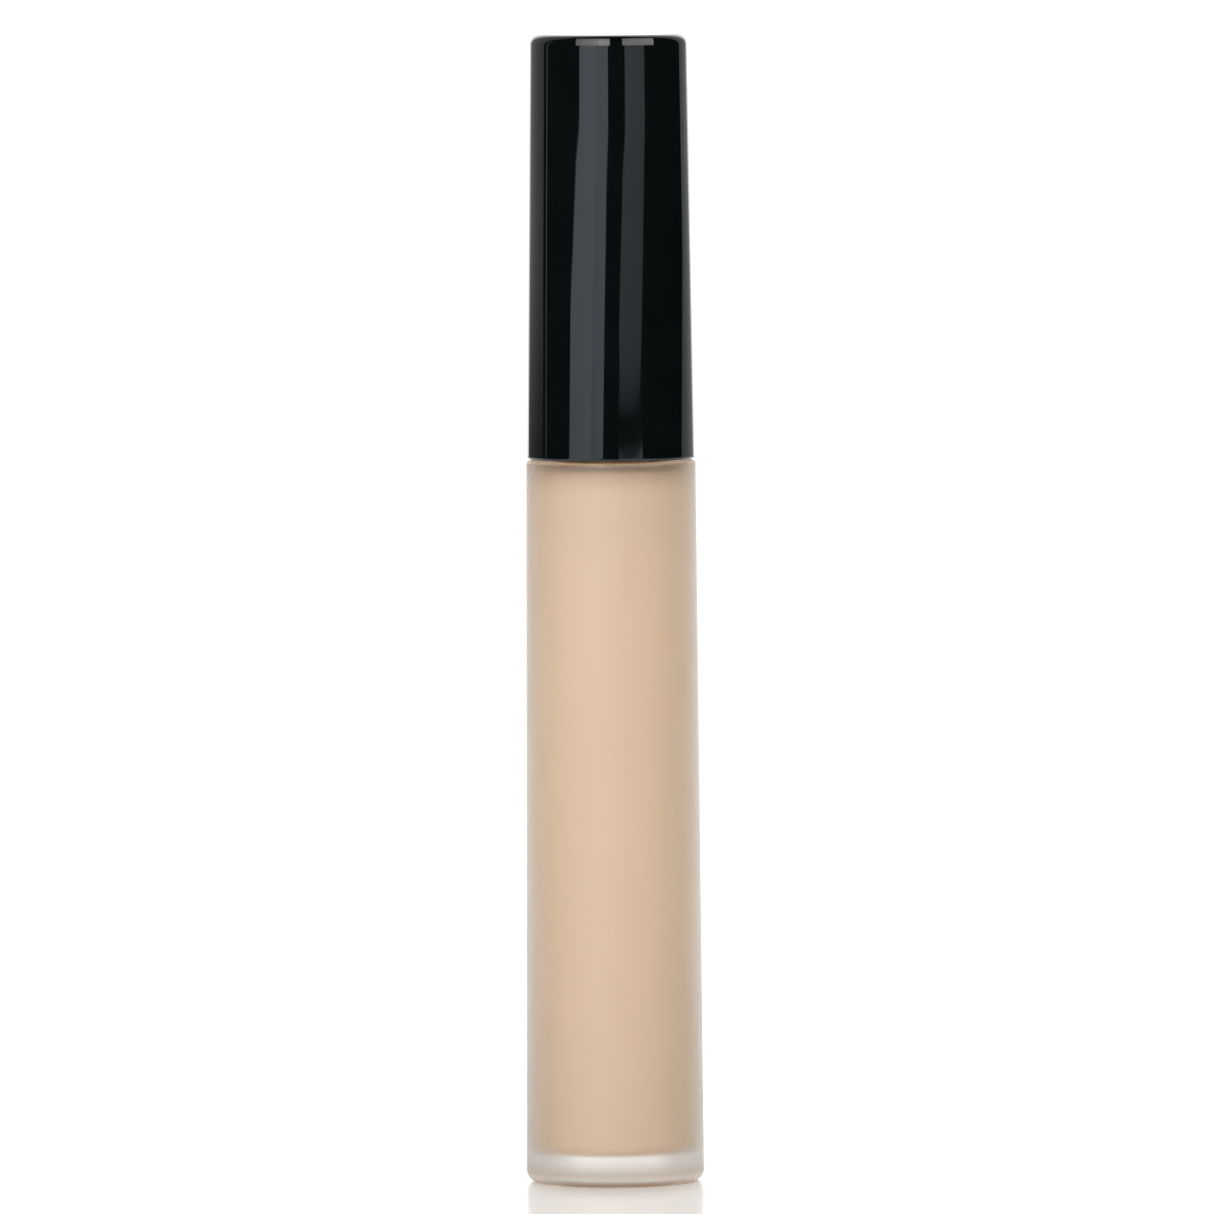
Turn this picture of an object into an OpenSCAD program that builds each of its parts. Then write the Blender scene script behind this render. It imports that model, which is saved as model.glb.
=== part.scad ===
// Screw-cap gloss tube with a wand applicator, closed.
// Z is up, the origin is the centre of the tube's underside, and lengths are in millimetres.

/* [Tube] */
// Largest diameter of the tube, just above the base's rounded edge
tube_d_base = 18.2; // [17.6:0.1:19]
// Diameter of the tube at its shoulder
tube_d_top = 17.3; // [17:0.1:18]
// Height of the shoulder above the underside
tube_h = 73.9; // [66:0.1:90]
// Thickness of the solid base under the cavity
base_t = 3; // [2:0.1:6]
// Radius of the base's outer edge
base_edge_r = 1.2; // [0.4:0.1:2]
// Radius of the shoulder's outer edge
rim_r = 0.35; // [0.2:0.05:0.6]
// Thickness of the shoulder over the cavity
shoulder_t = 0.8; // [0.7:0.05:1.5]
// Diameter of the cavity at its floor
cavity_d_floor = 11.4; // [10:0.1:11.8]
// Diameter of the cavity under the shoulder
cavity_d_top = 11.5; // [11:0.1:11.8]
// Height of the product's surface above the shoulder, inside the neck
fill_rise = 1.6; // [0.2:0.1:3]

/* [Neck] */
// Height of the neck above the shoulder
neck_h = 11; // [10.8:0.1:12]
// Outside diameter over the thread
thread_d = 13; // [12.8:0.05:13.1]
// Height of the thread above the neck's wall
thread_depth = 0.7; // [0.5:0.05:0.75]
// Pitch of the thread
thread_pitch = 2.117; // [1.9:0.001:2.2]
// Turns of thread on the neck
neck_turns = 2; // [1.75:0.25:2]
// Turns that free the cap
release_turns = 1.25; // [1:0.25:1.25]
// Distance from the shoulder to the middle of the thread's lower end
thread_rise = 4.4; // [4.2:0.1:4.6]
// Diameter of the neck's bore
neck_bore_d = 9; // [8.8:0.1:9.2]

/* [Cap] */
// Height of the cap's outer shell
cap_h = 43.4; // [42:0.1:50]
// Diameter of the shell at its open end
cap_d_bottom = 17.2; // [16.8:0.1:17.6]
// Diameter of the shell at its roof
cap_d_top = 16.1; // [15.8:0.1:16.6]
// Radius of the edge around the roof
cap_edge_r = 1.05; // [0.5:0.05:1.3]
// Thickness of the roof
roof_t = 1.4; // [1:0.1:2]
// Gap between the closed cap and the shoulder
cap_gap = 0.2; // [0.1:0.05:0.5]
// Diameter of the bore that holds the inner cap
liner_d = 14.4; // [14.3:0.1:14.6]
// Diameter of the pocket that holds the weight
pocket_d = 13.2; // [12.8:0.1:13.4]
// Depth of the shell from its top down to the pocket's open end
pocket_depth = 17.5; // [16:0.5:18]
// Height of the steel weight
weight_h = 10; // [6:0.5:14]

/* [Wand] */
// Diameter of the rod
rod_d = 4; // [3.6:0.1:4.1]
// Gap between the applicator's tip and the cavity's floor
tip_gap = 4.5; // [2:0.1:10]
// Length of the flocked tip
applicator_l = 12; // [10:0.5:14]
// Diameter of the flocked tip
applicator_d = 4.4; // [4.1:0.1:4.5]
// Thickness of the flocking
flock_t = 0.25; // [0.15:0.05:0.35]
// Angle between the slanted face and the rod
face_angle = 15; // [12:1:18]

/* [Seals] */
// Diameter of the hole in the wiper's lip, held open at the tip's size
wiper_hole_d = 4.6; // [4.6:0.1:5]
// Thickness of the wiper's flange
wiper_flange_t = 0.8; // [0.6:0.1:1]
// Thickness of the washer
washer_t = 1; // [0.8:0.1:1.2]
// Diameter of the washer
washer_d = 12.6; // [12:0.1:12.8]

/* [Hidden] */
$fn = 96;

// Clearances
touch = 0.05;
run_fit = 0.07;
thread_fit = 0.1;
washer_fit = 0.2;
// How far a thread's root sinks into the wall that carries it
sunk = 0.15;
// How far a cutter reaches past what it cuts
past = 1;

// Tube and neck
base_r = tube_d_base / 2;
shoulder_r = tube_d_top / 2;
neck_r = thread_d / 2 - thread_depth;
bore_r = neck_bore_d / 2;
neck_top = tube_h + neck_h;
neck_root_r = 0.5;
neck_edge_r = 0.2;
floor_r = cavity_d_floor / 2;
cavity_r = cavity_d_top / 2;
floor_edge_r = 0.8;
inner_shoulder_r = 0.4;
cavity_top = tube_h - shoulder_t;
// The film of product on the cavity's wall leaves no air behind it
wetting = 0.03;
// The product stays clear of the wand's tip
tip_room = 0.6;

// Wiper
wiper_wall = 0.55;
wiper_bead_r = 0.2;
wiper_bead_z = neck_top - 4;
wiper_sleeve_l = 6;
wiper_sleeve_z = neck_top - wiper_sleeve_l;
wiper_tail_z = tube_h - 1;
wiper_top = neck_top + wiper_flange_t;
wiper_r = bore_r - wiper_wall;
wiper_hole_r = wiper_hole_d / 2;
wiper_lip_t = 0.5;
wiper_lip_r = wiper_hole_r + wiper_lip_t;
wiper_flange_r = neck_r - 0.2;

// Washer
washer_z = wiper_top + touch;
washer_r = washer_d / 2;
washer_hole_r = wiper_r - run_fit + washer_fit;

// Threads: turns are counted up from the lower end of the thread on the neck
thread_start_z = tube_h + thread_rise;
ridge_root = 0.55;
ridge_crest = 0.28;
groove_r = thread_d / 2 + thread_fit;
inner_crest_r = neck_r + sunk;
inner_root = 0.5;
inner_crest = 0.22;
// The cap's thread lies below the neck's thread, flank to flank, with a clearance
flank_drop = 0.85;
cap_thread_from = neck_turns - release_turns;
cap_thread_to = neck_turns + 0.25;
fade_turns = 1 / 12;
steps_per_turn = 36;

// Cap
cap_z = tube_h + cap_gap;
cap_top = cap_z + cap_h;
cap_r = cap_d_bottom / 2;
cap_top_r = cap_d_top / 2;
lip_edge_r = 0.25;
liner_recess = 0.25;
roof_z = cap_top - roof_t;
pocket_z = cap_top - pocket_depth;
liner_r = liner_d / 2;
liner_z = cap_z + liner_recess;
web_z = washer_z + washer_t + touch;
web_t = 1.5;
pocket_r = pocket_d / 2;
weight_r = pocket_r - 0.1;
weight_top = roof_z - 0.1;
weight_z = weight_top - weight_h;
weight_chamfer = 0.5;
tower_r = pocket_r - 0.1;
tower_wall = 0.8;
tower_top = weight_z - 0.1;
rib_t = 0.9;
rib_count = 6;

// Wand
rod_r = rod_d / 2;
tip_z = base_t + tip_gap;
collar_l = 0.8;
rod_z = tip_z + applicator_l + collar_l;
plug_r = wiper_r - run_fit;
plug_l = 4;
plug_taper_l = 1.6;
spigot_r = 2.5;
spigot_l = 6.5;
spigot_bead_r = 0.25;
spigot_bead_z = web_z + spigot_l - 2;
boss_r = spigot_r + 0.9;
boss_l = spigot_l + 0.8;
socket_r = 1.15;
socket_l = 5;
socket_air = 0.2;
tip_r = applicator_d / 2;
core_r = tip_r - flock_t;
// Radius of the tip's rounded end, and of its narrow neck under the rod
nose_r = 1.35;
waist_r = 1.5;
waist_l = 0.8;
// The bulb is widest between these shares of the tip's length
belly_from = 0.42;
belly_to = 0.62;
// Where the flat face crosses the tip's lower end
face_x = 0.2;

// A flat ring: an outer radius, an inner radius, and its lower and upper ends
module ring(outer, inner, z0, z1) {
  translate([0, 0, z0]) difference() {
    cylinder(r = outer, h = z1 - z0);
    translate([0, 0, -past]) cylinder(r = inner, h = z1 - z0 + 2 * past);
  }
}

// Half a turned section with a straight side, and rounded lower and upper edges
module turned(r0, z0, r1, z1, edge0, edge1) {
  polygon([
    [0, z0], [r0 - edge0, z0], [r0 - edge0, z0 + edge0], [r0, z0 + edge0],
    [r1, z1 - edge1], [r1 - edge1, z1 - edge1], [r1 - edge1, z1], [0, z1]
  ]);
  translate([r0 - edge0, z0 + edge0]) circle(r = edge0);
  translate([r1 - edge1, z1 - edge1]) circle(r = edge1);
}

// Share of a thread's full height at a number of turns, with both ends faded out
function fade(t, t0, t1) = max(0.02, min(1, (t - t0) / fade_turns, (t1 - t) / fade_turns));

// A thread's section at a number of turns: root, crest, crest, root
function section(t, h, root_r, crest_r, root, crest) = let(r = root_r + (crest_r - root_r) * h) [
  for (p = [[root_r, -root], [r, -crest], [r, crest], [root_r, root]])
    [p[0] * cos(360 * t), p[0] * sin(360 * t), p[1] + thread_pitch * t]
];

// A right-handed thread from turn t0 to turn t1, on the outside of a wall or the inside of one
module thread(root_r, crest_r, root, crest, t0, t1) {
  steps = ceil((t1 - t0) * steps_per_turn);
  turns = [for (i = [0:steps]) t0 + (t1 - t0) * i / steps];
  points = [
    for (t = turns) each section(t, fade(t, t0, t1), root_r, crest_r, root, crest)
  ];
  sides = [
    for (i = [0:steps - 1], k = [0:3]) let(a = 4 * i + k, b = 4 * i + (k + 1) % 4)
      each [[a, b, b + 4], [a, b + 4, a + 4]]
  ];
  ends = [[3, 2, 1], [3, 1, 0], [4 * steps, 4 * steps + 1, 4 * steps + 2],
    [4 * steps, 4 * steps + 2, 4 * steps + 3]];
  all = concat(sides, ends);
  inside = crest_r < root_r;
  polyhedron(points, inside ? [for (f = all) [f[2], f[1], f[0]]] : all);
}

// Half a section of the cavity and of the bore up to a height, grown by a margin
module cavity_section(bore_top, grow) {
  turned(floor_r + grow, base_t - grow, cavity_r + grow, cavity_top + grow,
    floor_edge_r, inner_shoulder_r);
  translate([0, base_t + floor_edge_r]) square([bore_r + grow, bore_top - base_t - floor_edge_r]);
}

module tube_body() {
  color([0.85, 0.78, 0.7, 0.5]) {
    difference() {
      rotate_extrude() {
        turned(base_r, 0, shoulder_r, tube_h, base_edge_r, rim_r);
        turned(neck_r, tube_h - sunk, neck_r, neck_top, neck_edge_r, neck_edge_r);
        difference() {
          translate([neck_r - sunk, tube_h - sunk])
            square([neck_root_r + sunk, neck_root_r + sunk]);
          translate([neck_r + neck_root_r, tube_h + neck_root_r]) circle(r = neck_root_r);
        }
      }
      rotate_extrude() cavity_section(neck_top + past, 0);
      rotate_extrude() translate([bore_r, wiper_bead_z]) circle(r = wiper_bead_r);
    }
    translate([0, 0, thread_start_z])
      thread(neck_r - sunk, thread_d / 2, ridge_root, ridge_crest, 0, neck_turns);
  }
}

// Half a section of everything inside the wiper's funnel, moved outwards and down by a margin
module funnel_section(margin) {
  polygon([
    [0, wiper_tail_z - margin], [wiper_lip_r + margin, wiper_tail_z - margin],
    [bore_r + margin, wiper_sleeve_z - margin], [0, wiper_sleeve_z - margin]
  ]);
}

module wiper() {
  color([0.93, 0.93, 0.9]) rotate_extrude() {
    difference() {
      union() {
        polygon([
          [wiper_hole_r, wiper_tail_z], [wiper_lip_r, wiper_tail_z], [bore_r, wiper_sleeve_z],
          [bore_r, neck_top], [wiper_flange_r, neck_top], [wiper_flange_r, wiper_top],
          [wiper_r, wiper_top], [wiper_r, wiper_sleeve_z], [wiper_hole_r, wiper_tail_z + wiper_lip_t]
        ]);
        translate([bore_r, wiper_bead_z]) circle(r = wiper_bead_r);
      }
      translate([0, wiper_sleeve_z]) square([wiper_r, wiper_sleeve_l + past]);
    }
  }
}

module product_fill() {
  color([0.85, 0.75, 0.64]) rotate_extrude() difference() {
    cavity_section(tube_h + fill_rise, wetting);
    funnel_section(touch);
    translate([0, tip_z - tip_room]) square([wiper_hole_r, tube_h]);
  }
}

module seal_washer() {
  color([0.9, 0.9, 0.88]) ring(washer_r, washer_hole_r, washer_z, washer_z + washer_t);
}

module cap_weight() {
  color([0.62, 0.63, 0.65]) rotate_extrude() polygon([
    [0, weight_z], [weight_r - weight_chamfer, weight_z], [weight_r, weight_z + weight_chamfer],
    [weight_r, weight_top - weight_chamfer], [weight_r - weight_chamfer, weight_top], [0, weight_top]
  ]);
}

module cap_shell() {
  color([0.05, 0.06, 0.06]) difference() {
    rotate_extrude() turned(cap_r, cap_z, cap_top_r, cap_top, lip_edge_r, cap_edge_r);
    translate([0, 0, cap_z - past]) cylinder(r = liner_r, h = pocket_z - cap_z + past);
    translate([0, 0, cap_z]) cylinder(r = pocket_r, h = roof_z - cap_z);
  }
}

module cap_liner() {
  color([0.16, 0.16, 0.17]) {
    difference() {
      union() {
        translate([0, 0, liner_z]) cylinder(r = liner_r, h = web_z + web_t - liner_z);
        ring(tower_r, tower_r - tower_wall, web_z + web_t - sunk, tower_top);
        translate([0, 0, web_z]) cylinder(r = boss_r, h = boss_l);
        for (i = [0:rib_count - 1])
          rotate(i * 360 / rib_count) translate([boss_r - sunk, -rib_t / 2, web_z + web_t - sunk])
            cube([tower_r - boss_r - tower_wall + 2 * sunk, rib_t, boss_l - web_t]);
      }
      translate([0, 0, liner_z - past]) cylinder(r = groove_r, h = web_z - liner_z + past);
      translate([0, 0, web_z - past]) cylinder(r = spigot_r, h = spigot_l + past);
      rotate_extrude() translate([spigot_r, spigot_bead_z]) circle(r = spigot_bead_r);
    }
    translate([0, 0, thread_start_z - flank_drop])
      thread(groove_r + sunk, inner_crest_r, inner_root, inner_crest, cap_thread_from, cap_thread_to);
  }
}

module wand_stem() {
  plug_z = web_z - plug_l;
  color([0.12, 0.12, 0.13]) difference() {
    rotate_extrude() {
      polygon([
        [0, rod_z], [rod_r, rod_z], [rod_r, plug_z - plug_taper_l], [plug_r, plug_z],
        [plug_r, web_z], [spigot_r, web_z], [spigot_r, web_z + spigot_l], [0, web_z + spigot_l]
      ]);
      translate([spigot_r, spigot_bead_z]) circle(r = spigot_bead_r);
    }
    translate([0, 0, rod_z - past]) cylinder(r = socket_r, h = socket_l + past);
  }
}

// The slanted tip: a turned bulb with one flat face, grown by a margin
module tip_form(grow) {
  waist_z = tip_z + applicator_l;
  belly = core_r + grow;
  nose = nose_r + grow;
  difference() {
    rotate_extrude() intersection() {
      union() {
        polygon([
          [0, tip_z + nose + flock_t - grow], [nose, tip_z + nose + flock_t - grow],
          [belly, tip_z + applicator_l * belly_from], [belly, tip_z + applicator_l * belly_to],
          [waist_r + grow, waist_z - waist_l], [waist_r + grow, waist_z], [0, waist_z]
        ]);
        translate([0, tip_z + nose + flock_t - grow]) circle(r = nose);
      }
      translate([0, tip_z - past]) square([tip_r + past, applicator_l + past]);
    }
    translate([face_x + grow, 0, tip_z]) rotate([0, face_angle, 0])
      translate([0, -tip_r * 2, -applicator_l]) cube([tip_r * 4, tip_r * 4, applicator_l * 2]);
  }
}

module applicator_core() {
  color([0.8, 0.78, 0.75]) {
    tip_form(0);
    translate([0, 0, rod_z - collar_l]) cylinder(r = rod_r, h = collar_l);
    translate([0, 0, rod_z - sunk]) cylinder(r = socket_r, h = socket_l + sunk - socket_air);
  }
}

module applicator_flocking() {
  color([0.95, 0.93, 0.9]) difference() {
    tip_form(flock_t);
    tip_form(0);
  }
}

tube_body();
wiper();
product_fill();
seal_washer();
cap_weight();
cap_shell();
cap_liner();
wand_stem();
applicator_core();
applicator_flocking();
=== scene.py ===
"""Gloss tube with a wand applicator: the looks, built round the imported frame. Metres, Z up."""

import math
import random

import bmesh
import bpy
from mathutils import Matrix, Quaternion, Vector


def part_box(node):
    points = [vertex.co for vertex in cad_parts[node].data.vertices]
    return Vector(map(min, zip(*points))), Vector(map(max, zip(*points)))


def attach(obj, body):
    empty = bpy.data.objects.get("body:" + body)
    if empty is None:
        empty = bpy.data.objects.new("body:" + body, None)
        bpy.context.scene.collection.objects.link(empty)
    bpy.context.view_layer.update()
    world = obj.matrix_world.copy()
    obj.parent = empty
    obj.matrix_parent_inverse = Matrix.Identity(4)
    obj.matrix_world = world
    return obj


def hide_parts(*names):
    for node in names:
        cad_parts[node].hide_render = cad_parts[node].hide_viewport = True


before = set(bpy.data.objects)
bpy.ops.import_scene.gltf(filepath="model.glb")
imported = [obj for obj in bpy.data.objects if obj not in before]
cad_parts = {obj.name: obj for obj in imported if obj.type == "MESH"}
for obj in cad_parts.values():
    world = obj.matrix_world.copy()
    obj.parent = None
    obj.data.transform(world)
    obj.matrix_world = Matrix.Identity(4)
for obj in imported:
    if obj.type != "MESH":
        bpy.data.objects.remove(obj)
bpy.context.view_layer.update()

MM = 0.001
TURN = 2 * math.pi

# ---------------------------------------------------------------- sizes, read from the frame

tube_lo, tube_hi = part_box("tube_body")
fill_lo, fill_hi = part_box("product_fill")
wiper_lo, wiper_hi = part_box("wiper")
washer_lo, washer_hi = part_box("seal_washer")
shell_lo, shell_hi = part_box("cap_shell")
stem_lo, stem_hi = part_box("wand_stem")
flock_lo, flock_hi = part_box("applicator_flocking")

BASE_R = min(tube_hi.x, -tube_lo.x, tube_hi.y)
NECK_TOP = tube_hi.z
CAP_BOTTOM, CAP_TOP = shell_lo.z, shell_hi.z
CAP_R = shell_hi.y
TIP_Z, FLOCK_TOP = flock_lo.z, flock_hi.z
ROD_Z = stem_lo.z
PLUG_R = stem_hi.y
HEIGHT = CAP_TOP - tube_lo.z

# Inner sizes that no box gives, as the part has them
SHOULDER_Z = CAP_BOTTOM - 0.2 * MM
SHOULDER_R = 8.65 * MM
BASE_EDGE, RIM_EDGE = 1.2 * MM, 0.35 * MM
WETTING = 0.03 * MM
FLOOR_Z = fill_lo.z + WETTING
CAVITY_FLOOR_R, CAVITY_TOP_R = 5.7 * MM, 5.75 * MM
CAVITY_TOP_Z = SHOULDER_Z - 0.8 * MM
CAVITY_SHOULDER_R, CAVITY_FLOOR_EDGE = 0.4 * MM, 0.8 * MM
BORE_R, NECK_R, THREAD_R = 4.5 * MM, 5.8 * MM, 6.5 * MM
THREAD_Z, PITCH, NECK_TURNS = SHOULDER_Z + 4.4 * MM, 2.117 * MM, 2.0
THREAD_ROOT, THREAD_CREST, THREAD_FADE = 0.55 * MM, 0.28 * MM, 1 / 12
NECK_ROOT = 0.5 * MM
CHANNEL_R, TIP_ROOM, TAIL_GAP = 2.3 * MM, 0.6 * MM, 0.05 * MM
SLEEVE_L, SLEEVE_T, TAIL_T, LIP_L = 6.0 * MM, 0.55 * MM, 0.5 * MM, 0.5 * MM
FUNNEL_SLOPE = 0.285
LINER_R, POCKET_R = 7.2 * MM, 6.6 * MM
POCKET_Z, ROOF_Z = CAP_TOP - 17.5 * MM, CAP_TOP - 1.4 * MM
CAP_TOP_R, CAP_EDGE = 8.05 * MM, 1.05 * MM
WEB_Z, WASHER_GAP = washer_hi.z + 0.05 * MM, 0.2 * MM
ROD_R, SPIGOT_R, SOCKET_R, SOCKET_L = 2.0 * MM, 2.5 * MM, 1.15 * MM, 5.0 * MM
PLUG_L, PLUG_TAPER = 4.0 * MM, 1.6 * MM
FLOCK_T, NOSE_R, WAIST_R, CORE_R = 0.25 * MM, 1.35 * MM, 1.5 * MM, 1.95 * MM
FACE_SLOPE = math.tan(math.radians(15))
FACE_X = 0.2 * MM
COAT_T, FIBRE_L, FIBRE_R, FIBRES = FLOCK_T * 0.72, FLOCK_T * 0.36, 0.011 * MM, 5200

# ---------------------------------------------------------------- turned meshes

# How far from a fillet an outline has its next point, to hold the shading of the stretch between
SUPPORT = 0.12 * MM


def fillet(before, corner, after, radius):
    """Points of the arc that rounds a corner of an outline."""
    a, b, c = Vector(before[:2]), Vector(corner[:2]), Vector(after[:2])
    to_a, to_c = (a - b), (c - b)
    half = to_a.angle(to_c) / 2
    back = min(radius / math.tan(half), to_a.length * 0.49, to_c.length * 0.49)
    radius = back * math.tan(half)
    to_a.normalize()
    to_c.normalize()
    centre = b + (to_a + to_c).normalized() * (radius / math.sin(half))
    start, end = b + to_a * back - centre, b + to_c * back - centre
    turn = start.angle_signed(end)
    steps = max(2, math.ceil(abs(turn) / math.radians(11)))
    points = []
    for i in range(steps + 1):
        spin = -turn * i / steps
        x = start.x * math.cos(spin) - start.y * math.sin(spin)
        y = start.x * math.sin(spin) + start.y * math.cos(spin)
        points.append((centre.x + x, centre.y + y))
    return points


def outline(corners, closed=False):
    """Points (r, z) of an outline. A corner is (r, z), and may go on with the radius of its fillet
    and with the spacing of points on the stretch that leads to it."""
    n = len(corners)
    points = []
    for i, corner in enumerate(corners):
        radius = corner[2] if len(corner) > 2 else 0
        ends = not closed and i in (0, n - 1)
        new = [corner[:2]]
        if radius and not ends:
            new = fillet(corners[i - 1], corner, corners[(i + 1) % n], radius)
        if points:
            new = between(points[-1], new[0], SUPPORT, corner[3] if len(corner) > 3 else 0) + new
        points += new
    if closed:
        points += between(points[-1], points[0], SUPPORT, 0)
    return points


def between(p, q, support, spacing):
    """Points inside a straight stretch: one near each end to hold its shading, or evenly spaced ones."""
    p, q = Vector(p), Vector(q)
    length = (q - p).length
    if spacing:
        count = max(1, math.ceil(length / spacing))
        shares = [i / count for i in range(1, count)]
    elif length > 3 * support:
        shares = [support / length, 1 - support / length]
    else:
        shares = []
    return [tuple(p.lerp(q, s)) for s in shares]


def lathe(name, points, segments, closed=False, shape=None):
    """A closed turned mesh from an outline. shape(angle, r, z, i) may change a point's radius."""
    bm = bmesh.new()
    rings = []
    for i, (r, z) in enumerate(points):
        if r < 1e-9:
            rings.append([bm.verts.new((0, 0, z))])
            continue
        ring = []
        for k in range(segments):
            angle = TURN * k / segments
            radius = shape(angle, r, z, i) if shape else r
            ring.append(bm.verts.new((radius * math.cos(angle), radius * math.sin(angle), z)))
        rings.append(ring)
    pairs = list(zip(rings, rings[1:]))
    if closed:
        pairs.append((rings[-1], rings[0]))
    for low, high in pairs:
        for k in range(segments):
            m = (k + 1) % segments
            corners = [low[k % len(low)], low[m % len(low)], high[m % len(high)], high[k % len(high)]]
            bm.faces.new(list(dict.fromkeys(corners)))
    bmesh.ops.recalc_face_normals(bm, faces=bm.faces)
    mesh = bpy.data.meshes.new(name)
    bm.to_mesh(mesh)
    bm.free()
    mesh.shade_smooth()
    mesh.set_sharp_from_angle(angle=math.radians(40))
    obj = bpy.data.objects.new(name, mesh)
    bpy.context.scene.collection.objects.link(obj)
    return obj


def piece(obj, body, nodes, material):
    """Makes a mesh a piece of the object: it rides on a body and stands for CAD nodes."""
    obj.data.materials.append(material)
    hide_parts(*nodes)
    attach(obj, body)
    return obj


def smooth(x):
    """0 below 0, 1 above 1, and a soft step between."""
    x = min(1.0, max(0.0, x))
    return x * x * (3 - 2 * x)


# ---------------------------------------------------------------- materials


class Nodes:
    """Short calls for building one material's node tree."""

    def __init__(self, name):
        self.material = bpy.data.materials.new(name)
        self.material.use_nodes = True
        self.tree = self.material.node_tree
        self.shader = next(n for n in self.tree.nodes if n.type == "BSDF_PRINCIPLED")
        self.place = self.tree.nodes.new("ShaderNodeTexCoord").outputs["Object"]

    def set(self, **values):
        for name, value in values.items():
            self.shader.inputs[name.replace("_", " ")].default_value = value

    def link(self, output, name):
        self.tree.links.new(output, self.shader.inputs[name])

    def stretched(self, x, y, z):
        node = self.tree.nodes.new("ShaderNodeMapping")
        node.inputs["Scale"].default_value = (x, y, z)
        self.tree.links.new(self.place, node.inputs["Vector"])
        return node.outputs[0]

    def noise(self, scale, detail=3.0, roughness=0.5, place=None):
        node = self.tree.nodes.new("ShaderNodeTexNoise")
        node.inputs["Scale"].default_value = scale
        node.inputs["Detail"].default_value = detail
        node.inputs["Roughness"].default_value = roughness
        self.tree.links.new(place or self.place, node.inputs["Vector"])
        return node.outputs["Fac"]

    def cells(self, scale, place=None):
        node = self.tree.nodes.new("ShaderNodeTexVoronoi")
        node.inputs["Scale"].default_value = scale
        self.tree.links.new(place or self.place, node.inputs["Vector"])
        return node.outputs["Distance"]

    def ramp(self, value, low, high, start=0.0, end=1.0):
        """A colour or a grey that goes from low to high as value goes from start to end."""
        node = self.tree.nodes.new("ShaderNodeValToRGB")
        for element, at, colour in zip(node.color_ramp.elements, (start, end), (low, high)):
            element.position = at
            element.color = (*colour, 1) if isinstance(colour, tuple) else (colour,) * 3 + (1,)
        self.tree.links.new(value, node.inputs[0])
        return node.outputs["Color"]

    def height(self, low, high):
        """0 below one height on the object and 1 above another."""
        split = self.tree.nodes.new("ShaderNodeSeparateXYZ")
        self.tree.links.new(self.place, split.inputs[0])
        return self.share(split.outputs["Z"], low, high)

    def reach(self, low, high):
        """0 within one distance of the object's origin and 1 beyond another."""
        length = self.tree.nodes.new("ShaderNodeVectorMath")
        length.operation = "LENGTH"
        self.tree.links.new(self.place, length.inputs[0])
        return self.share(length.outputs["Value"], low, high)

    def share(self, value, low, high):
        """0 where a value is at low or below it, and 1 where it is at high or above it."""
        node = self.tree.nodes.new("ShaderNodeMapRange")
        node.inputs["From Min"].default_value = low
        node.inputs["From Max"].default_value = high
        self.tree.links.new(value, node.inputs["Value"])
        return node.outputs["Result"]

    def blend(self, share, low, high):
        """Colour low where share is 0, and high where it is 1."""
        node = self.tree.nodes.new("ShaderNodeMix")
        node.data_type = "RGBA"
        ends = [socket for socket in node.inputs if socket.type == "RGBA"]
        self.tree.links.new(share, node.inputs[0])
        self.tree.links.new(low, ends[0])
        self.tree.links.new(high, ends[1])
        return next(socket for socket in node.outputs if socket.type == "RGBA")

    def bump(self, height, distance, strength=1.0):
        node = self.tree.nodes.new("ShaderNodeBump")
        node.inputs["Strength"].default_value = strength
        node.inputs["Distance"].default_value = distance
        self.tree.links.new(height, node.inputs["Height"])
        self.link(node.outputs[0], "Normal")


def frosted_tube():
    """Thick clear copolyester with a light satin frost. Its base edge and its rim pick up the
    cream's colour, and the warm tint is that colour painted on: a painted reflection of the cream."""
    m = Nodes("frosted_tube")
    m.set(Transmission_Weight=1.0, IOR=1.57, Specular_IOR_Level=0.5)
    clear = m.ramp(m.noise(90), (0.915, 0.912, 0.900), (0.940, 0.937, 0.925), 0.3, 0.7)
    # Painted reflection: the cream's warm colour painted on the tube's base edge and its rim.
    painted_cream_tint = m.ramp(m.noise(90), (0.84, 0.73, 0.61), (0.87, 0.76, 0.64), 0.3, 0.7)
    base = m.blend(m.height(1.1 * MM, 2.1 * MM), painted_cream_tint, clear)
    rim = m.blend(m.height(SHOULDER_Z - 1.1 * MM, SHOULDER_Z - 0.5 * MM), base, painted_cream_tint)
    m.link(m.blend(m.height(SHOULDER_Z + 0.1 * MM, SHOULDER_Z + 0.6 * MM), rim, clear), "Base Color")
    m.link(m.ramp(m.noise(420, 2), 0.40, 0.46, 0.3, 0.7), "Roughness")
    m.bump(m.noise(9000, 2), 0.0015 * MM, 0.4)
    return m.material


def cream():
    """Opaque warm beige cream, with faint streaks from filling, and painted shade: darker near its top,
    where the cap shades it.
    """
    m = Nodes("cream")
    m.set(Roughness=0.55, Specular_IOR_Level=0.1)
    streaks = m.noise(60, 4, 0.5, m.stretched(1, 1, 0.25))
    body = m.ramp(streaks, (0.655, 0.480, 0.327), (0.682, 0.504, 0.347), 0.3, 0.7)
    # Painted shade: the cream's colour darker near its top, where the cap shades it.
    painted_cap_shade = m.ramp(streaks, (0.53, 0.375, 0.245), (0.55, 0.395, 0.26), 0.3, 0.7)
    m.link(m.blend(m.height(SHOULDER_Z - 3.0 * MM, SHOULDER_Z - 1.4 * MM), body, painted_cap_shade), "Base Color")
    m.bump(m.noise(700, 3), 0.01 * MM, 0.5)
    return m.material


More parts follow.
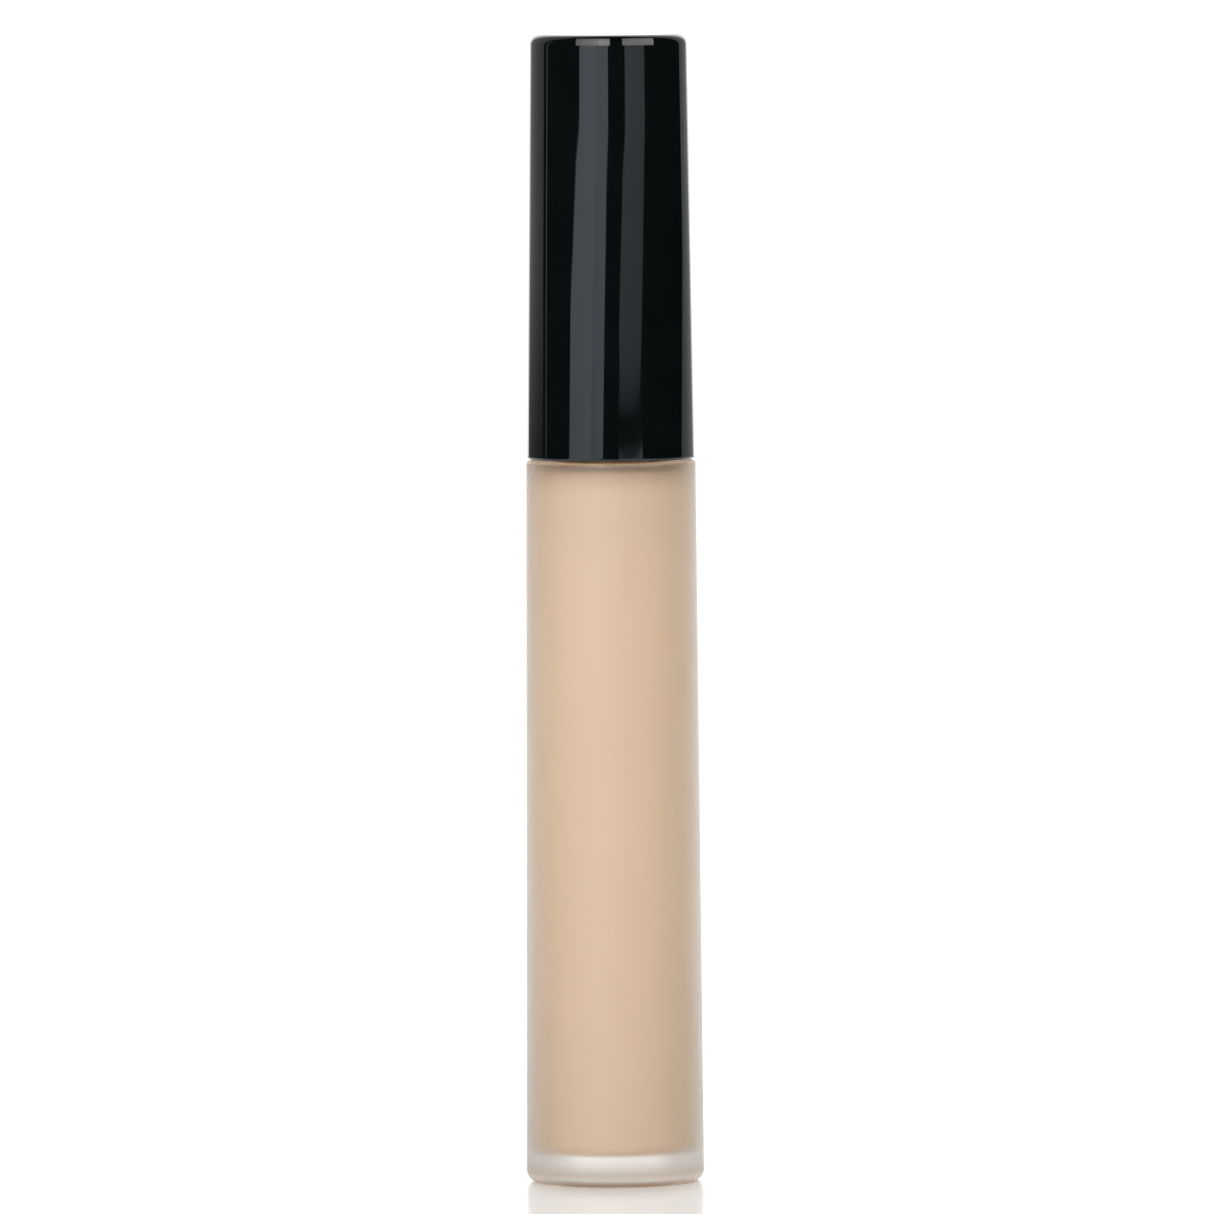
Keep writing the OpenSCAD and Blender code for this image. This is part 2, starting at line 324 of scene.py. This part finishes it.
def cap_gloss():
    """High gloss black, with the faintest waviness of moulded plastic."""
    m = Nodes("cap_gloss")
    m.set(IOR=1.5, Specular_IOR_Level=0.5)
    m.link(m.ramp(m.noise(150), (0.0016, 0.0024, 0.0026), (0.0024, 0.0032, 0.0035), 0.3, 0.7), "Base Color")
    m.link(m.ramp(m.noise(500, 5), 0.02, 0.045, 0.35, 0.8), "Roughness")
    m.bump(m.noise(260, 2), 0.001 * MM, 0.5)
    return m.material


def moulded(name, low, high, roughness, grain, depth):
    """Plain moulded plastic: a slightly uneven colour and a fine grain."""
    m = Nodes(name)
    m.set(IOR=1.49, Specular_IOR_Level=0.5)
    m.link(m.ramp(m.noise(300, 4), low, high, 0.3, 0.7), "Base Color")
    m.link(m.ramp(m.noise(900, 3), roughness * 0.85, roughness * 1.15, 0.3, 0.7), "Roughness")
    m.bump(m.noise(grain, 3), depth, 0.6)
    return m.material


def milky_wiper():
    """Soft milky polyethylene that lets some light through."""
    m = Nodes("milky_wiper")
    m.set(IOR=1.51, Subsurface_Weight=0.35, Subsurface_Scale=0.6 * MM)
    m.link(m.ramp(m.noise(500, 3), (0.62, 0.62, 0.60), (0.68, 0.68, 0.66), 0.3, 0.7), "Base Color")
    m.link(m.ramp(m.noise(1200, 3), 0.28, 0.40, 0.3, 0.7), "Roughness")
    m.bump(m.noise(2600, 2), 0.006 * MM, 0.5)
    return m.material


def foam():
    """Closed-cell foam: small round cells, open where the washer was cut, with painted shade in their
    hollows.
    """
    m = Nodes("foam")
    m.set(Specular_IOR_Level=0.25)
    cells = m.cells(5200)
    # Painted shade: the cells' hollows are drawn darker than their walls.
    m.link(m.ramp(cells, (0.62, 0.62, 0.60), (0.86, 0.86, 0.83), 0.05, 0.5), "Base Color")
    m.link(m.ramp(m.noise(1500, 3), 0.7, 0.9, 0.3, 0.7), "Roughness")
    m.bump(cells, 0.06 * MM, 0.8)
    return m.material


def turned_steel():
    """Turned steel: fine rings round the axis."""
    m = Nodes("turned_steel")
    m.set(Metallic=1.0)
    rings = m.noise(900, 4, 0.6, m.stretched(0.02, 0.02, 9))
    m.link(m.ramp(rings, (0.40, 0.40, 0.41), (0.58, 0.58, 0.59), 0.3, 0.7), "Base Color")
    m.link(m.ramp(rings, 0.24, 0.42, 0.3, 0.7), "Roughness")
    m.bump(rings, 0.01 * MM, 0.6)
    return m.material


def elastomer():
    """Soft matt elastomer."""
    m = Nodes("elastomer")
    m.set(Specular_IOR_Level=0.4, Subsurface_Weight=0.2, Subsurface_Scale=0.5 * MM)
    m.link(m.ramp(m.noise(600, 3), (0.42, 0.40, 0.36), (0.48, 0.46, 0.42), 0.3, 0.7), "Base Color")
    m.link(m.ramp(m.noise(1500, 2), 0.45, 0.6, 0.3, 0.7), "Roughness")
    m.bump(m.noise(3000, 2), 0.006 * MM, 0.5)
    return m.material


def flock():
    """Nylon flock soaked with cream."""
    m = Nodes("flock")
    m.set(Specular_IOR_Level=0.2, Sheen_Weight=0.5, Sheen_Roughness=0.4)
    soaked = m.noise(330, 4, 0.6)
    m.link(m.ramp(soaked, (0.40, 0.28, 0.185), (0.50, 0.38, 0.28), 0.4, 0.62), "Base Color")
    m.link(m.ramp(soaked, 0.45, 0.9, 0.4, 0.62), "Roughness")
    m.bump(m.noise(9000, 3), 0.03 * MM, 0.8)
    return m.material


# ---------------------------------------------------------------- pieces


def neck_thread(angle, r, z, _):
    """The neck's radius with its right-handed thread on it."""
    if abs(r - NECK_R) > 1e-7 or not THREAD_Z - 1 * MM < z < THREAD_Z + (NECK_TURNS + 0.5) * PITCH:
        return r
    height = 0.0
    for whole in range(math.ceil(NECK_TURNS) + 1):
        turns = angle / TURN + whole
        fade = smooth(min(turns, NECK_TURNS - turns) / THREAD_FADE)
        off = abs(z - THREAD_Z - PITCH * turns)
        height = max(height, fade * smooth((THREAD_ROOT - off) / (THREAD_ROOT - THREAD_CREST)))
    return r + (THREAD_R - NECK_R) * height


def make_tube():
    """The tube's wall: outside from the base up to the neck, and inside back down."""
    corners = [
        (0, 0),
        (BASE_R, 0, BASE_EDGE),
        (SHOULDER_R, SHOULDER_Z, RIM_EDGE),
        (NECK_R, SHOULDER_Z, NECK_ROOT),
        (NECK_R, NECK_TOP, 0.2 * MM, 0.07 * MM),
        (BORE_R, NECK_TOP, 0.1 * MM),
        (BORE_R, CAVITY_TOP_Z, 0.1 * MM),
        (CAVITY_TOP_R, CAVITY_TOP_Z, CAVITY_SHOULDER_R),
        (CAVITY_FLOOR_R, FLOOR_Z, CAVITY_FLOOR_EDGE),
        (0, FLOOR_Z),
    ]
    obj = lathe("tube_wall", outline(corners), 240, shape=neck_thread)
    return piece(obj, "tube", ["tube_body"], frosted_tube())


def make_fill():
    """The cream, up into the neck, with room for the wiper's tail and the wand."""
    top = fill_hi.z
    tail_r, tail_z = CHANNEL_R + TAIL_T + TAIL_GAP, wiper_lo.z - TAIL_GAP
    corners = [
        (0, FLOOR_Z - WETTING),
        (CAVITY_FLOOR_R + WETTING, FLOOR_Z - WETTING, CAVITY_FLOOR_EDGE),
        (CAVITY_TOP_R + WETTING, CAVITY_TOP_Z + WETTING, CAVITY_SHOULDER_R),
        (BORE_R + WETTING, CAVITY_TOP_Z + WETTING, 0.1 * MM),
        (BORE_R + WETTING, top, 0.05 * MM),
        (tail_r + (top - wiper_lo.z) * FUNNEL_SLOPE, top, 0.2 * MM),
        (tail_r, tail_z, 0.1 * MM),
        (CHANNEL_R, tail_z, 0.1 * MM),
        (CHANNEL_R, TIP_Z - TIP_ROOM, 0.8 * MM),
        (0, TIP_Z - TIP_ROOM),
    ]
    obj = lathe("cream_fill", outline(corners), 240)
    return piece(obj, "tube", ["product_fill"], cream())


def make_wiper():
    """The wiper: a flange on the neck, a sleeve in it, and a funnel down to a lip."""
    sleeve_z = NECK_TOP - SLEEVE_L
    inner = BORE_R - SLEEVE_T
    tail, flange = wiper_lo.z, wiper_hi.y
    corners = [
        (CHANNEL_R, tail, 0.15 * MM),
        (CHANNEL_R + TAIL_T, tail, 0.15 * MM),
        (BORE_R, sleeve_z, 0.8 * MM),
        (BORE_R, NECK_TOP, 0.05 * MM),
        (flange, NECK_TOP, 0.15 * MM),
        (flange, wiper_hi.z, 0.2 * MM),
        (inner, wiper_hi.z, 0.25 * MM),
        (inner, sleeve_z, 0.8 * MM),
        (CHANNEL_R, tail + LIP_L, 0.3 * MM),
    ]
    obj = lathe("wiper_insert", outline(corners, True), 128, closed=True)
    return piece(obj, "tube", ["wiper"], milky_wiper())


def make_washer():
    """The foam ring that seals the neck, with play round the wand's plug."""
    inner = PLUG_R + WASHER_GAP
    edge = 0.12 * MM
    corners = [
        (inner, washer_lo.z, edge),
        (washer_hi.y, washer_lo.z, edge),
        (washer_hi.y, washer_hi.z, edge),
        (inner, washer_hi.z, edge),
    ]
    obj = lathe("foam_washer", outline(corners, True), 128, closed=True)
    return piece(obj, "washer", ["seal_washer"], foam())


def make_shell():
    """The tall outer cap: its outside, the hole for the inner cap, and the pocket over that."""
    corners = [
        (0, CAP_TOP),
        (CAP_TOP_R, CAP_TOP, CAP_EDGE),
        (CAP_R, CAP_BOTTOM, 0.25 * MM),
        (LINER_R, CAP_BOTTOM, 0.12 * MM),
        (LINER_R, POCKET_Z, 0.05 * MM),
        (POCKET_R, POCKET_Z, 0.2 * MM),
        (POCKET_R, ROOF_Z, 0.3 * MM),
        (0, ROOF_Z),
    ]
    obj = lathe("cap_outer", outline(corners), 240)
    return piece(obj, "cap", ["cap_shell"], cap_gloss())


def make_stem():
    """The wand's rod: a socket for the tip, the plug that fills the wiper, and the spigot."""
    plug_z = WEB_Z - PLUG_L
    top = stem_hi.z
    corners = [
        (0, ROD_Z + SOCKET_L),
        (SOCKET_R, ROD_Z + SOCKET_L, 0.1 * MM),
        (SOCKET_R, ROD_Z, 0.1 * MM),
        (ROD_R, ROD_Z, 0.15 * MM),
        (ROD_R, plug_z - PLUG_TAPER, 1.2 * MM),
        (PLUG_R, plug_z, 0.5 * MM),
        (PLUG_R, WEB_Z, 0.05 * MM),
        (SPIGOT_R, WEB_Z, 0.1 * MM),
        (SPIGOT_R, top, 0.4 * MM),
        (0, top),
    ]
    obj = lathe("wand_rod", outline(corners), 96)
    rod = moulded("rod_plastic", (0.010, 0.010, 0.011), (0.016, 0.016, 0.017), 0.16, 1500, 0.004 * MM)
    return piece(obj, "cap", ["wand_stem"], rod)


def tip_radius(angle, r, z, grow):
    """The tip's radius where its slanted flat face cuts it, with a soft edge."""
    facing = math.cos(angle)
    if facing < 0.02 or r < 1e-6:
        return r
    flat = max(0.02 * MM, (FACE_X + grow + (z - TIP_Z) * FACE_SLOPE) / facing)
    soft = 0.22 * MM
    mix = min(1.0, max(0.0, 0.5 + 0.5 * (flat - r) / soft))
    return flat + (r - flat) * mix - soft * mix * (1 - mix)


def tip_outline(grow):
    """The tip's turned bulb, from its nose up to its waist."""
    nose = NOSE_R + grow
    length = FLOCK_TOP - TIP_Z
    belly = CORE_R + grow
    start = TIP_Z + FLOCK_T - grow
    corners = [
        (0, start),
        (nose, start, nose * 0.98),
        (nose * 1.02, start + nose * 1.1, 0.5 * MM),
        (belly, TIP_Z + length * 0.45, 4 * MM),
        (belly, TIP_Z + length * 0.60, 4 * MM),
        (WAIST_R + grow, FLOCK_TOP - 0.8 * MM, 2 * MM),
        (WAIST_R + grow, FLOCK_TOP),
    ]
    points = outline(corners)
    fine = [points[0]]
    for p, q in zip(points, points[1:]):
        fine += between(p, q, MM, 0.2 * MM) + [q]
    return fine


def make_flock():
    """The flock's coat, with short fibres standing out of it."""
    outer, inner = tip_outline(COAT_T), tip_outline(0)
    count = len(outer)

    def shape(angle, r, z, i):
        return tip_radius(angle, r, z, COAT_T if i < count else 0)

    obj = lathe("flock_coat", outer + inner[::-1], 96, shape=shape)
    add_fibres(obj, FIBRES, FIBRE_L, FIBRE_R)
    return piece(obj, "cap", ["applicator_flocking"], flock())


def add_fibres(obj, count, length, radius):
    """Adds short closed spikes over the outside of a mesh, spread by area."""
    rng = random.Random(7)
    mesh = obj.data
    axis_z = (TIP_Z + FLOCK_TOP) / 2
    faces = [f for f in mesh.polygons if f.normal.dot(f.center - Vector((0, 0, axis_z))) > 0 and f.area > 0]
    chosen = rng.choices(faces, weights=[f.area for f in faces], k=count)
    bm = bmesh.new()
    bm.from_mesh(mesh)
    for face in chosen:
        a, b, c = (mesh.vertices[i].co for i in face.vertices[:3])
        u, v = rng.random(), rng.random()
        foot = a + (b - a) * u + (c - b) * v * u
        lean = Vector((rng.uniform(-0.35, 0.35), rng.uniform(-0.35, 0.35), rng.uniform(-0.35, 0.35)))
        up = (face.normal + lean).normalized()
        side = up.orthogonal().normalized()
        across = up.cross(side)
        root = foot - up * length * 0.3
        tip = bm.verts.new(foot + up * length * rng.uniform(0.7, 1.0))
        ring = [bm.verts.new(root + (side * math.cos(t) + across * math.sin(t)) * radius)
                for t in (0, TURN / 3, 2 * TURN / 3)]
        for i in range(3):
            bm.faces.new((ring[i], ring[(i + 1) % 3], tip))
        bm.faces.new((ring[2], ring[1], ring[0]))
    bm.to_mesh(mesh)
    bm.free()


def repaint(node, material):
    """Gives a CAD node that keeps its shape a better material."""
    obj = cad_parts[node]
    for s in obj.material_slots:
        s.material = material
    if not obj.material_slots:
        obj.data.materials.append(material)


make_tube()
make_fill()
make_wiper()
make_washer()
make_shell()
make_stem()
make_flock()
liner = moulded("liner_plastic", (0.014, 0.014, 0.015), (0.022, 0.022, 0.023), 0.34, 1400, 0.008 * MM)
repaint("cap_liner", liner)
repaint("cap_weight", turned_steel())
repaint("applicator_core", elastomer())

# ---------------------------------------------------------------- stage

STAGE_CENTRE = Vector((0, 0, 0.09))
CARD_DISTANCE = 0.9
# A hair below the tube, so that its underside is a surface of its own
FLOOR_GAP = 0.02 * MM
# How bright the surroundings are: as a backdrop, through clear parts, and as light on a surface
BACKGROUND, SEEN_THROUGH, SKY_LIGHT = 1.1, 0.7, 1.28


def card(name, rows, colour=(1, 1, 1), columns=24):
    """A curved reflection card round the object, seen by mirrored light alone. Each row is
    (direction of its left end, direction of its right end, radiance at the left, radiance at the right)."""
    bm = bmesh.new()
    glow = bm.verts.layers.float_color.new("glow")
    grid = []
    for left, right, glow_left, glow_right in rows:
        line = []
        for i in range(columns + 1):
            share = i / columns
            vert = bm.verts.new(STAGE_CENTRE + left.slerp(right, share) * CARD_DISTANCE)
            level = glow_left + (glow_right - glow_left) * share
            vert[glow] = (level * colour[0], level * colour[1], level * colour[2], 1)
            line.append(vert)
        grid.append(line)
    for low, high in zip(grid, grid[1:]):
        for i in range(columns):
            bm.faces.new((low[i], low[i + 1], high[i + 1], high[i]))
    mesh = bpy.data.meshes.new(name)
    bm.to_mesh(mesh)
    bm.free()
    mesh.materials.append(glowing())
    obj = bpy.data.objects.new(name, mesh)
    bpy.context.scene.collection.objects.link(obj)
    obj.visible_camera = obj.visible_diffuse = obj.visible_transmission = False
    obj.visible_shadow = obj.visible_volume_scatter = False


def level_row(elevation, left, right, glow_left, glow_right):
    """A card's row at one elevation, between two azimuths in degrees. Azimuth 0 is towards the
    camera, and azimuths grow to its right."""
    return way_to(left, elevation), way_to(right, elevation), glow_left, glow_right


def edge_row(tilt, left, right, glow_left, glow_right):
    """A card's row as the cap's rounded edge mirrors it, where the edge leans back by a tilt."""
    return mirrored(left, tilt), mirrored(right, tilt), glow_left, glow_right


def mirrored(turn, tilt):
    """Where a level view from the camera goes after a surface that is turned and leans back."""
    facing = way_to(turn, tilt)
    view = Vector((0, -1, 0))
    return (facing * 2 * facing.dot(view) - view).normalized()


def way_to(azimuth, elevation):
    """The direction from the object at an azimuth and an elevation in degrees."""
    a, e = math.radians(azimuth), math.radians(elevation)
    return Vector((math.sin(a) * math.cos(e), -math.cos(a) * math.cos(e), math.sin(e)))


def glowing():
    """The cards' light, read from their points."""
    material = bpy.data.materials.get("card_light")
    if material:
        return material
    material = bpy.data.materials.new("card_light")
    material.use_nodes = True
    tree = material.node_tree
    tree.nodes.clear()
    light, out = tree.nodes.new("ShaderNodeEmission"), tree.nodes.new("ShaderNodeOutputMaterial")
    level = tree.nodes.new("ShaderNodeAttribute")
    level.attribute_name = "glow"
    tree.links.new(level.outputs["Color"], light.inputs["Color"])
    tree.links.new(light.outputs[0], out.inputs[0])
    return material


def make_cards():
    """Two windows in front with roof lights over them, a thin bright gap at the left, and the
    backdrop with its ends."""
    sky = (0.9, 1.0, 1.11)
    card("left_window_outer", [
        level_row(-5.6, -62, -33, 1.0, 1.35),
        level_row(-2.84, -59.5, -29, 1.1, 1.45),
        level_row(-0.9, -57, -25, 1.45, 1.60),
        level_row(0.65, -48, -20, 1.50, 1.65),
        level_row(1.03, -43, -18, 1.50, 1.70),
        level_row(7, -41, -17, 1.6, 1.8),
    ], sky)
    card("left_window_inner", [
        level_row(-5.6, -33, -15, 1.0, 1.15),
        level_row(-2.84, -29, -12.3, 1.1, 1.35),
        level_row(-0.9, -25, -8, 1.3, 1.45),
        level_row(0.65, -20, -3.5, 1.45, 1.45),
        level_row(1.03, -18, -1, 1.45, 1.45),
        level_row(7, -17, 0, 1.6, 1.6),
    ], sky)
    card("right_window", [
        level_row(-1.75, 11, 40, 0.25, 0.2),
        level_row(-1.35, 12.5, 43, 0.5, 0.5),
        level_row(-0.9, 12.5, 45.2, 0.65, 0.6),
        level_row(0.65, 19.5, 51.5, 0.75, 0.65),
        level_row(1.03, 23.5, 53.3, 0.85, 0.7),
        level_row(7, 24, 54, 1.0, 0.9),
    ], sky)
    card("low_window", [level_row(-5.6, 11, 44, 1.0, 1.0), level_row(-2.22, 11, 44, 1.0, 1.0)], sky)
    roof = [(3.5, 0.9), (12, 1.0), (24, 1.0), (34, 0.8), (42, 0.5)]
    card("left_roof_light", [edge_row(tilt, -24, -7, 2.4 * k, 4.2 * k) for tilt, k in roof])
    card("middle_roof_light", [edge_row(tilt, -7, 1, 5.4 * k, 4.6 * k) for tilt, k in roof])
    card("right_roof_light", [edge_row(tilt, 10, 34.5, 3.2 * k, 3.6 * k) for tilt, k in roof])
    card("line", [
        level_row(-5.6, -100, -98.8, 0.3, 0.3),
        level_row(-1, -102, -100.5, 1.0, 1.0),
        level_row(30, -99, -97.5, 1.2, 1.2),
    ], sky, 2)
    card("back_left", [
        level_row(-5.6, -155, -104, 0.12, 0.05),
        level_row(-2.84, -155, -107.5, 0.17, 0.08),
        level_row(-0.9, -155, -108.5, 0.42, 0.40),
        level_row(60, -155, -108.5, 0.5, 0.45),
    ])
    card("back_right", [
        level_row(-5.6, 112, 155, 0.4, 0.5),
        level_row(-2.84, 114, 155, 0.4, 0.5),
        level_row(-0.9, 126, 155, 0.42, 0.5),
        level_row(60, 126, 155, 0.42, 0.55),
    ])
    card("backdrop", [level_row(-5.6, 155, 205, 1.6, 1.6), level_row(60, 155, 205, 1.6, 1.6)])


def make_floor():
    """A plain white floor, glossy near the object, with painted shade: greyer near the object."""
    mesh = bpy.data.meshes.new("floor")
    bm = bmesh.new()
    bmesh.ops.create_grid(bm, x_segments=1, y_segments=1, size=0.75)
    bm.to_mesh(mesh)
    bm.free()
    m = Nodes("floor")
    m.set(Roughness=0.2)
    m.link(m.ramp(m.reach(0.03, 0.20), 0.5, 0.0), "Specular IOR Level")
    # Painted shade: the floor's colour is darker within a few centimetres of the object.
    painted_shade_near = m.ramp(m.noise(20), (0.75, 0.75, 0.74), (0.77, 0.77, 0.76), 0.3, 0.7)
    far = m.ramp(m.noise(20), (0.88, 0.88, 0.87), (0.90, 0.90, 0.89), 0.3, 0.7)
    m.link(m.blend(m.reach(0.03, 0.15), painted_shade_near, far), "Base Color")
    mesh.materials.append(m.material)
    obj = bpy.data.objects.new("floor", mesh)
    obj.location.z = tube_lo.z - FLOOR_GAP
    bpy.context.scene.collection.objects.link(obj)


def make_world():
    """Soft white light from all round. Mirrored light comes from the cards alone."""
    world = bpy.data.worlds.new("studio")
    bpy.context.scene.world = world
    world.use_nodes = True
    tree = world.node_tree
    sky = next(n for n in tree.nodes if n.type == "BACKGROUND")
    sky.inputs["Color"].default_value = (1, 1, 1, 1)
    path = tree.nodes.new("ShaderNodeLightPath")
    seen = level_by(tree, path.outputs["Is Camera Ray"], SEEN_THROUGH, BACKGROUND)
    lit = level_by(tree, path.outputs["Diffuse Depth"], seen, SKY_LIGHT)
    tree.links.new(lit, sky.inputs["Strength"])
    world.cycles_visibility.glossy = False


def level_by(tree, choice, low, high):
    """low where choice is 0 and high where it is 1 or more."""
    node = tree.nodes.new("ShaderNodeMix")
    for name, value in (("Factor", choice), ("A", low), ("B", high)):
        if isinstance(value, float):
            node.inputs[name].default_value = value
        else:
            tree.links.new(value, node.inputs[name])
    return node.outputs["Result"]


def make_light(name, azimuth, elevation, distance, size, power):
    """A soft square light that shines at the object."""
    data = bpy.data.lights.new(name, "AREA")
    data.size, data.energy = size, power
    way = way_to(azimuth, elevation)
    obj = bpy.data.objects.new(name, data)
    obj.location = STAGE_CENTRE + way * distance
    obj.rotation_euler = way.to_track_quat("Z", "Y").to_euler()
    obj.visible_glossy = obj.visible_camera = False
    bpy.context.scene.collection.objects.link(obj)


def make_camera():
    """Level with the cap's roof and a little above it, far off, with a long lens."""
    distance, camera_z = 1.6, 0.150
    view_width = HEIGHT * 1.0573
    target = Vector((-0.0005, 0, HEIGHT * 0.501))
    data = bpy.data.cameras.new("camera")
    place = Vector((target.x, -distance, camera_z))
    reach = (target - place).length
    data.sensor_width = 36
    data.lens = data.sensor_width * reach / view_width
    data.clip_start, data.clip_end = 0.05, 50
    obj = bpy.data.objects.new("camera", data)
    bpy.context.scene.collection.objects.link(obj)
    roll = Quaternion((0, 0, 1), math.radians(-0.365))
    obj.rotation_mode = "QUATERNION"
    obj.rotation_quaternion = (target - place).to_track_quat("-Z", "Y") @ roll
    obj.location = place
    bpy.context.scene.camera = obj


make_camera()
make_cards()
make_floor()
make_world()
make_light("key", -10, 8, 1.1, 1.2, 6.5)
make_light("low_fill", -62, 0, 1.1, 0.9, 4.5)
bpy.context.scene.view_settings.view_transform = "Standard"
